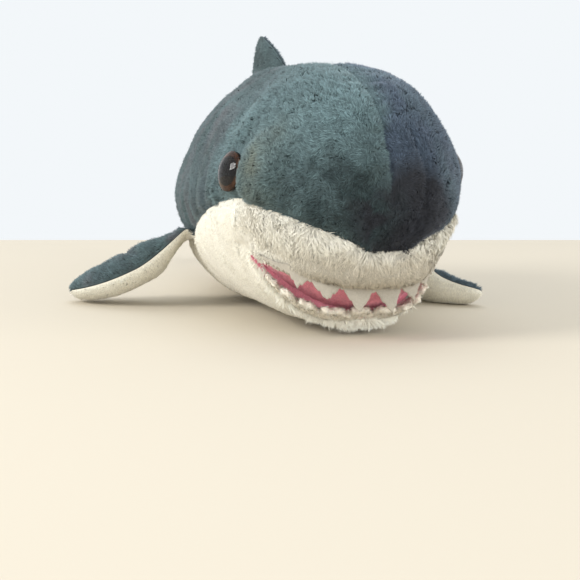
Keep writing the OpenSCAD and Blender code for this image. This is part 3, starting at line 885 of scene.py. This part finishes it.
def side_fin(side, face, reach, sweep, droop, tipped, top, under):
    """One face of a side fin.

    reach and sweep say how far out and back its tip is, droop how soon it falls to the table,
    tipped how far its front edge is turned up in degrees, and top and under how plump it is.
    """
    inside = 0.07

    def form(u, v):
        w = mix(-inside, 1, u)
        chord = FIN_HALF_CHORD * mix(1, 0.66, w) * round_edge(w * 0.985, 5)
        pitch = np.radians(tipped) * ease((w + inside) / 0.15) * mix(1.9, 1, step(0, 0.5, w))
        back = (2 * v - 1) * chord
        high = mix(FIN_TIP_HIGH, FIN_ROOT_HIGH, np.clip(1 - w, 0, 2) ** droop)
        middle = np.stack([-FIN_HINGE_X - reach * w, FIN_AT + sweep * w + back * np.cos(pitch),
                           high - back * np.sin(pitch)], 1)
        fall = np.clip(1 - np.minimum(w, 0.96), 0, 2) ** (droop - 1)
        fall = droop * (FIN_ROOT_HIGH - FIN_TIP_HIGH) * fall / reach
        up = unit(np.stack([-fall, np.sin(pitch), np.cos(pitch)], 1))
        edge = round_edge(2 * v - 1, 2.4) * round_edge(u, 10)
        plump = top if face > 0 else under
        thick = 0.2 + mix(3, plump, ease(w / 0.35)) * (1 - 0.35 * np.clip(w, 0, 1) ** 3) * edge
        dent = 3.2 * np.exp(-((w - 0.40) / 0.045) ** 2) * step(0.95, 0.2, v) * (face > 0)
        p = middle + up * (face * (thick - 1.6 * edge) - dent * edge)[:, None]
        p = p + up * (face * (0.45 * noise(p, 9) + 0.6 * noise(p, 22)) * edge)[:, None]
        p[:, 2] = np.maximum(p[:, 2], 0.6)
        return p * [-side, 1, 1]
    return form


def back_fin(side):
    z0, z1 = top_z(np.array([BACK_FIN_AT, BACK_FIN_END]))

    def form(u, v):
        w = -0.16 + 1.16 * u
        up = np.clip(w, 0, 1)
        chord = (v - 0.5) * round_edge(up * 0.97, 5)
        y = mix(BACK_FIN_AT + 36 * up ** 1.1, BACK_FIN_END + 2 * w, 0.5 + chord)
        edge = round_edge(2 * v - 1, 2.2) * round_edge(u, 10)
        thick = 0.2 + (mix(3, 5, ease(w / 0.35)) * (1 - 0.5 * up ** 2) - 1.2) * edge
        root = mix(z0, z1, (y - BACK_FIN_AT) / (BACK_FIN_END - BACK_FIN_AT))
        p = np.stack([0 * u, y, root + BACK_FIN_HIGH * w], 1)
        p[:, 0] = side * thick + 1.5 * up ** 2 * noise(p, 18) + side * 0.3 * noise(p, 7) * edge
        return p
    return form


def tail_fin(side):
    def form(u, v):
        w = 2 * u - 1
        size = np.abs(w)
        chord = 18.5 * mix(1, 0.45, size) * round_edge(size * 0.985, 4)
        swept = np.where(w > 0, 28, 24) * size ** 1.5
        edge = round_edge(2 * v - 1, 2.2) * round_edge(size, 14)
        thick = 0.2 + (6 * (1 - 0.5 * size ** 1.6) - 1.2) * edge
        p = np.stack([0 * u, FLUKE_AT + swept + (2 * v - 1) * chord,
                      FLUKE_HIGH + FLUKE_HALF_SPAN * w], 1)
        p[:, 0] = side * thick + side * 0.4 * noise(p, 8) * edge
        return lean(p)
    return form


def fin_nap(p, along, around):
    return 0.5 * along + around * (1 + 0.4 * noise(p, 9))[:, None]


def fluke_nap(p, along, around):
    return around + 0.4 * along * noise(p, 9)[:, None]


# Pieces

def settle(nodes):
    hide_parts(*nodes)


def clothe(name, form, size, sign, seed, material, slot, nodes, **pile):
    """A whole grid of cloth with its pile."""
    patch = grid(*size) + (form,)
    tufts = grow(patch, form, sign, np.random.default_rng(seed), **pile)
    piece = make_skin(name, patch, form, sign, pile["paint"], material, tufts)
    settle(nodes)
    return piece


def build_body(materials):
    right = grid(150, 78, v=(-0.5, 0)) + (body_form,)
    left = grid(150, 78, v=(0, 0.5)) + (body_form,)
    whole = grid(150, 156, v=(-0.5, 0.5)) + (body_form,)
    light = clip(whole, lambda p: -above_seam(p))
    # The muzzle is cut below its lip, because its edge is rolled in
    snout = clip(clip(light, on_muzzle), lambda p: lip_gap(p)[0] + 4.2)
    under = clip(clip(light, off_mouth), lambda p: -on_muzzle(p))
    right, left = clip(right, above_seam), clip(left, above_seam)

    def head_part(patch):
        return clip(patch, lambda p: TAIL_SPLIT_AT - p[:, 1])

    def tail_part(patch):
        return clip(patch, lambda p: p[:, 1] - TAIL_SPLIT_AT)

    back = dict(density=4.4, length=back_length, width=0.40, nap=back_nap, paint=back_paint,
                clump=2.2, gather=0.7, contrast=1.5, share=head_share)
    head = dict(back, bald=eye_bald)
    cream = dict(density=4.0, length=cream_length, width=0.36, nap=cream_nap, paint=cream_paint,
                 contrast=0.25, lift=(40, 14), share=head_share, bald=floor_bald, fluff=chin_fluff)
    muzzle = dict(density=4.5, length=muzzle_length, width=0.42, nap=muzzle_nap, paint=muzzle_paint,
                  clump=3.5, gather=0.7, lift=(52, 16), contrast=0.5)
    panels = [
        ("back_right", head_part(right), head, "pile_teal", ["back_panel_right", "body_stuffing"]),
        ("back_left", head_part(left), head, "pile_navy", ["back_panel_left"]),
        ("muzzle", snout, muzzle, "pile_muzzle", ["muzzle_panel"]),
        ("belly", head_part(under), cream, "pile_cream", ["belly_panel"]),
        ("tail_right", tail_part(right), back, "pile_teal",
         ["tail_back_panel_right", "tail_stuffing"]),
        ("tail_left", tail_part(left), back, "pile_navy", ["tail_back_panel_left"]),
        ("tail_under", tail_part(under), cream, "pile_cream", ["tail_belly_panel"]),
    ]
    for seed, (name, patch, pile, slot, nodes) in enumerate(panels, 10):
        tufts = grow(patch, dressed_body, 1, np.random.default_rng(seed), **pile)
        piece = make_skin(name, patch, dressed_body, 1, pile["paint"], materials[slot], tufts)
        settle(nodes)
        if name.startswith("tail"):
            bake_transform(piece)
        else:
            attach(piece, "body")


def lining(lip, puff):
    """A mouth lining's form, from the fold to a lip, pushed forward by the stuffing behind."""
    def form(u, v):
        a = np.radians(mix(-LINING_SPAN, LINING_SPAN, v))
        reach = reach_skin(lip, a) * u * (0.87 - 0.1 * step(1.1, 1.35, np.abs(a)))
        p = fold(a) + reach[:, None] * (lip(a) - fold(a))
        push = LINING_PUSH * (1 - u) * np.cos(a)
        swell = puff * np.sin(np.pi * np.clip(u, 0, 1)) * np.cos(a)
        return lean(p + np.stack([0 * u, -push, swell + 0.25 * noise(p, 6)], 1))
    return form


def lining_nap(p, along, around):
    return along + 1.2 * around * noise(p, 7)[:, None]


def build_mouth(materials):
    for name, form, sign in (("palate", lining(upper_lip, -0.8), -1),
                             ("mouth_floor", lining(lower_lip, 0.9), 1)):
        piece = clothe(name, form, (30, 160), sign, len(name), materials["lining_pink"],
                       "lining_pink", [f"{name}_lining"], density=2.6, length=same(1.5),
                       width=0.4, nap=lining_nap, paint=pink_paint, clump=2.5, gather=0.3,
                       lift=(40, 10), contrast=0.4)
        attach(piece, "body")


def slip(turn):
    """Where on its pattern a strip is at an angle, in degrees: both have slid round the mouth."""
    return turn - 5 + 2 * np.clip(turn / 9, -1, 1)


def tooth(a, at, half, height):
    return height * np.maximum(0, 1 - np.abs(np.abs(a) - at) / half)


def nub(a, at, half, height):
    return height * round_edge((np.abs(a) - at) / half, 4)


def upper_outline(turn):
    """Depth of the upper strip at an angle in degrees: five teeth a side, smaller and smaller."""
    a = slip(turn)
    strip = mix(2.6, 0.5, step(44, 66, np.abs(a)))
    ragged = 0.35 * np.sin(turn * 1.9) + 0.25 * np.sin(turn * 3.1)
    waves = (0.5 * np.sin(a * 0.35) + 0.4 * np.sin(a * 0.8 + 1)) * step(30, 44, np.abs(a))
    teeth = [tooth(a, 9, 8.2, 9.4), tooth(a, 26, 7.7, 6.2), tooth(a, 40.5, 6.3, 3.8),
             tooth(a, 51.3, 4.5, 1.2), tooth(a, 60.3, 4.5, 0.9), 0 * a]
    return strip + ragged + waves + np.max(teeth, axis=0)


def lower_outline(turn):
    """Height of the lower strip at an angle in degrees: a row of blunt nubs."""
    a = slip(turn)
    nubs = [nub(a, 0, 6.5, 3.4), nub(a, 16, 7, 3.8), nub(a, 30, 5.2, 3.6), nub(a, 41, 4.4, 3.4),
            nub(a, 51, 3.8, 2.6)]
    return 1.8 + 0.4 * np.sin(turn * 0.9) + np.max(nubs, axis=0)


def strip_sections(lip, outline, span, up, tilt, thick):
    """Rings of points round a strip of felt that is cut to an outline and sewn along a lip.

    span is how far round the lip it goes each way in degrees, up is 1 or -1, and tilt is its lean
    outwards in radians.
    """
    degrees = np.linspace(-span, span, 4 * span + 1)
    turns = np.radians(degrees)
    along_lip = lip(turns)
    height = outline(degrees)
    arc = np.linalg.norm(np.gradient(along_lip, axis=0), axis=1)
    slope = np.abs(np.gradient(height)) / arc

    # Places across the strip, closest at its free edge, and its half thickness there
    across = 1 - (1 - np.linspace(0, 1, 14)) ** 1.6
    root = mix(3, 0.4, step(38, 60, np.abs(degrees)))
    drop = np.outer(height + root, across) - root[:, None]
    inside = (height[:, None] - drop) / np.sqrt(1 + slope[:, None] ** 2)
    half = thick / 2 * np.sqrt(1 - (1 - np.clip(inside / 0.9, 0, 1)) ** 2) + 0.05

    # It leans out by tilt, and curls and bends by place, more on the toy's right
    out = outward(turns)
    reach = np.sin(tilt) * out + np.cos(tilt) * np.array([0, 0, up])
    face = np.cos(tilt) * out - np.sin(tilt) * np.array([0, 0, up])
    along = np.stack([-out[:, 1], out[:, 0], 0 * turns], 1)
    slack = 1 + 1.5 * step(5, -20, degrees)
    curl = slack * (0.08 + 0.12 * noise(along_lip, 9))
    bend = slack * 0.14 * noise(along_lip + 40, 8)
    away = np.clip(drop, 0, 20)[:, :, None]
    centre = ((along_lip - 0.3 * out - face * thick / 2)[:, None]
              + reach[:, None] * drop[:, :, None]
              + 0.5 * (face * curl[:, None])[:, None] * away ** 1.4
              + (along * bend[:, None])[:, None] * away)
    offset = face[:, None] * half[:, :, None]
    return np.concatenate([centre + offset, (centre - offset)[:, ::-1]], axis=1)


def felt_strip(name, sections, up, material, colour, fuzz, length):
    """A strip of felt with a rough surface, uneven by fuzz, and fibres of a length."""
    rows, cols = sections.shape[:2]
    k = np.arange(rows * cols).reshape(rows, cols)
    faces = halves(spans(k, np.roll(k, -1, axis=1)))
    points = lean(sections.reshape(-1, 3))
    points = points + fuzz * noise3(points, 0.9)
    form = lookup(points.reshape(rows, cols, 3))
    outer = -up * face_normals(points, faces)
    shade = np.zeros_like(points)
    for i in range(3):
        np.add.at(shade, faces[:, i], outer)

    def paint(p):
        return np.array(colour) * (1 + 0.05 * noise(p, 3))[:, None]

    fibres = grow(grid(rows - 1, cols) + (form,), form, -up, np.random.default_rng(90), density=6,
                  length=same(length), width=0.32,
                  nap=lambda p, along, around: noise3(p, 1.5) + 0.01, paint=paint)
    u, v = np.meshgrid(np.linspace(0, 1, rows), np.linspace(0, 1, cols), indexing="ij")
    # The felt under its fibres is painted a little darker, as painted shade.
    felt = (points, faces if up < 0 else faces[:, ::-1], unit(shade), paint(points) * 0.92,
            np.stack([u.ravel(), v.ravel()], 1))
    return make_mesh(name, [felt, fibres], material)


def build_teeth(materials):
    sections = strip_sections(upper_lip, upper_outline, span=78, up=-1, tilt=0.12, thick=1.6)
    # The upper strip is white felt; its dark beige is painted shade where it hangs under the
    # muzzle.
    upper = felt_strip("teeth_upper", sections, -1, materials["felt_white"], (0.44, 0.40, 0.33),
                       fuzz=0.12, length=0.5)
    settle(["upper_teeth"])
    sections = strip_sections(lower_lip, lower_outline, span=60, up=1, tilt=1.0, thick=2.6)
    lower = felt_strip("teeth_lower", sections, 1, materials["felt_cream"], (0.88, 0.82, 0.69),
                       fuzz=0.3, length=1.6)
    settle(["lower_teeth"])
    for piece in (upper, lower):
        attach(piece, "body")


def build_side_fins(materials):
    swept_back = dict(reach=53, sweep=31, droop=1.6, tipped=14, top=12.0, under=10.0)
    pushed_forward = dict(reach=34, sweep=-50, droop=3.3, tipped=17, top=7.0, under=11.0)
    dyed = dict(length=even(2.5), width=0.42, contrast=1.4, paint=back_paint)
    cream = dict(length=even(1.5), width=0.38, contrast=0.2, paint=cream_paint)
    faces = ((1, "top", "pile_teal", dyed), (-1, "under", "pile_cream", cream))
    for side, name, shape in ((-1, "right_fin", swept_back), (1, "left_fin", pushed_forward)):
        for face, part, slot, pile in faces:
            nodes = [f"{name}_{part}_panel"] + ([f"{name}_stuffing"] if face > 0 else [])
            piece = clothe(f"{name}_{part}", side_fin(side, face, **shape), (56, 40), face * side,
                           40 + face, materials[slot], slot, nodes, density=3.6, nap=fin_nap,
                           **pile)
            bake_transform(piece)


def build_upright_fins(materials):
    for side, part, slot in ((-1, "right", "pile_teal"), (1, "left", "pile_navy")):
        nodes = [f"dorsal_{part}_panel"] + (["dorsal_stuffing"] if side < 0 else [])
        piece = clothe(f"back_fin_{part}", back_fin(side), (36, 36), -side, 50 + side,
                       materials[slot], slot, nodes, density=2.8, length=even(2.2), width=0.5,
                       nap=fin_nap, paint=back_paint)
        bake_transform(piece)

        nodes = [f"fluke_{part}_panel"] + (["fluke_stuffing"] if side < 0 else [])
        piece = clothe(f"tail_fin_{part}", tail_fin(side), (90, 30), -side, 60 + side,
                       materials[slot], slot, nodes, density=2.2, length=even(2.6), width=0.55,
                       nap=fluke_nap, paint=back_paint)
        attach(piece, "tail")


# Eyes

def eye_seat():
    """Where the CAD model sets the toy's left eye: its share of the body's length and of a turn."""
    y = EYE_AT[1:2]
    middle, tall = (top_z(y) + low_z(y)) / 2, (top_z(y) - low_z(y)) / 2
    turn = np.arcsin((EYE_AT[2] - middle) / tall) / (2 * np.pi)
    return np.interp(y, ARC_Y, ARC) / ARC_LEN, 0.25 + turn


def build_lenses(material):
    """Clear domes seated a hair into the iris, so that it is seen through solid plastic."""
    ball = (EYE_RADIUS ** 2 + LENS_HIGH ** 2) / (2 * LENS_HIGH)
    share, turn = eye_seat()
    for side, name in ((-1, "right_eye"), (1, "left_eye")):
        b = turn if side > 0 else 1 - turn
        normal = normals_of(body_form, share, b, 1)[0][0]
        seat = body_form(share, b)[0] - 0.6 * normal
        level = unit(np.cross([0, 0, 1], normal))
        rise = np.cross(normal, level)
        turns = np.linspace(0, 2 * np.pi, 72, endpoint=False)
        spoke = np.outer(np.cos(turns), level) + np.outer(np.sin(turns), rise)
        points, shade = [], []
        for tip in np.linspace(0.02, math.asin(EYE_RADIUS / ball), 20):
            high = 0.5 + LENS_HIGH - ball + ball * math.cos(tip)
            points.append(seat + normal * high + spoke * ball * math.sin(tip))
            shade.append(normal * math.cos(tip) + spoke * math.sin(tip))
        for radius in (EYE_RADIUS, 0.2):
            points.append(seat + normal * 0.46 + spoke * radius)
            shade.append(-normal + 0 * spoke)
        k = np.arange(len(points) * len(turns)).reshape(-1, len(turns))
        caps = [np.stack([row[:1].repeat(len(row) - 2), row[1:-1], row[2:]], 1)[:, ::way]
                for row, way in ((k[0], 1), (k[-1], -1))]
        faces = np.concatenate([halves(spans(k, np.roll(k, -1, axis=1)))] + caps)
        points, shade = np.concatenate(points), np.concatenate(shade)
        flat = np.stack([(points - seat) @ level, (points - seat) @ rise], 1)
        white = np.ones_like(points)
        lens = make_mesh(f"{name}_lens", [(points, faces, shade, white, flat)], material)
        settle([f"{name}_dome"])
        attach(lens, "body")


def dress_eyes():
    """The clear domes are made anew. The rest of each eye keeps its CAD shape."""
    build_lenses(moulded_material("eye_clear", None, (1, 1, 1), 0.02, 300, clear=True))
    paints = {
        "iris": moulded_material("eye_brown", (0.030, 0.012, 0.006), (0.075, 0.030, 0.012),
                                 roughness=0.4, scale=500, specular=0.1),
        "post": moulded_material("eye_black", (0.004, 0.0035, 0.0035), (0.010, 0.008, 0.007),
                                 roughness=0.35, scale=400, specular=0.1),
        "washer": moulded_material("washer_white", (0.72, 0.72, 0.69), (0.82, 0.82, 0.79),
                                   roughness=0.45, scale=300),
    }
    for name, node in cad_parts.items():
        part = name.split("_")[-1]
        if part in paints:
            node.data.materials.clear()
            node.data.materials.append(paints[part])


def main():
    make_camera()
    make_studio()
    materials = {name: cloth_material(name, *look) for name, look in CLOTHS.items()}
    build_body(materials)
    build_mouth(materials)
    build_teeth(materials)
    build_side_fins(materials)
    build_upright_fins(materials)
    dress_eyes()


main()
